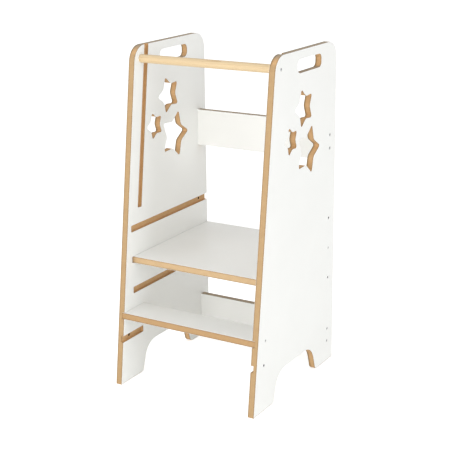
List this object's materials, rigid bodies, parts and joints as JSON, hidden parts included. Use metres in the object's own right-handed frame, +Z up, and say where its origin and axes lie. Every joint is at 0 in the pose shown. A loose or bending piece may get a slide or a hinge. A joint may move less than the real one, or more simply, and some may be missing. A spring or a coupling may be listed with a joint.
{
  "type": "toddler kitchen helper stool",
  "caption": "Tall kitchen helper stool for a toddler: side panels with star cut-outs and hand holes, a round rail, back boards, and a platform and step in grooves.",
  "frame": {"origin": "on the floor, under the middle of the stool, halfway between the panels and halfway along their feet", "axes": "+Z up, +Y to the rear, where the upper back board is, +X to the right side seen from the front"},
  "size_m": [0.429, 0.452, 0.9],
  "materials": {
    "white_face": "satin white board facing",
    "board_core": "bare light-brown fibreboard, cut edges",
    "rail_wood": "pale pine, smooth and unvarnished",
    "screw_steel": "zinc-plated steel",
    "insert_metal": "zinc-plated threaded insert"
  },
  "bodies": {
    "frame": {"left_panel_core": "board_core", "left_panel_inner_face": "white_face", "left_panel_outer_face": "white_face", "right_panel_core": "board_core", "right_panel_inner_face": "white_face", "right_panel_outer_face": "white_face", "top_rail": "rail_wood", "upper_back_core": "board_core", "upper_back_front_face": "white_face", "upper_back_rear_face": "white_face", "lower_back_core": "board_core", "lower_back_front_face": "white_face", "lower_back_rear_face": "white_face", "rail_screw_left": "screw_steel", "rail_screw_right": "screw_steel", "upper_back_screws_left": "screw_steel", "upper_back_screws_right": "screw_steel", "lower_back_screws_left": "screw_steel", "lower_back_screws_right": "screw_steel", "platform_inserts_left": "insert_metal", "platform_inserts_right": "insert_metal", "step_insert_upper_left": "insert_metal", "step_insert_upper_right": "insert_metal", "step_insert_lower_left": "insert_metal", "step_insert_lower_right": "insert_metal"},
    "platform": {"platform_core": "board_core", "platform_top_face": "white_face", "platform_under_face": "white_face"},
    "step": {"step_core": "board_core", "step_top_face": "white_face", "step_under_face": "white_face"},
    "platform_lock_screw_left": {"platform_lock_screw_left": "screw_steel"},
    "platform_lock_screw_right": {"platform_lock_screw_right": "screw_steel"},
    "step_lock_screw_left": {"step_lock_screw_left": "screw_steel"},
    "step_lock_screw_right": {"step_lock_screw_right": "screw_steel"}
  },
  "joints": [
    {"name": "platform_slide", "type": "slide", "parent": "frame", "child": "platform", "axis": [0, 1, 0], "range_m": [0, 0.376]},
    {"name": "step_slide", "type": "slide", "parent": "frame", "child": "step", "axis": [0, -1, 0], "range_m": [0, 0.092]},
    {"name": "platform_lock_screw_left_out", "type": "slide", "parent": "frame", "child": "platform_lock_screw_left", "axis": [-1, 0, 0], "range_m": [0, 0.01]},
    {"name": "platform_lock_screw_right_out", "type": "slide", "parent": "frame", "child": "platform_lock_screw_right", "axis": [1, 0, 0], "range_m": [0, 0.01]},
    {"name": "step_lock_screw_left_out", "type": "slide", "parent": "frame", "child": "step_lock_screw_left", "axis": [-1, 0, 0], "range_m": [0, 0.01]},
    {"name": "step_lock_screw_right_out", "type": "slide", "parent": "frame", "child": "step_lock_screw_right", "axis": [1, 0, 0], "range_m": [0, 0.01]}
  ]
}
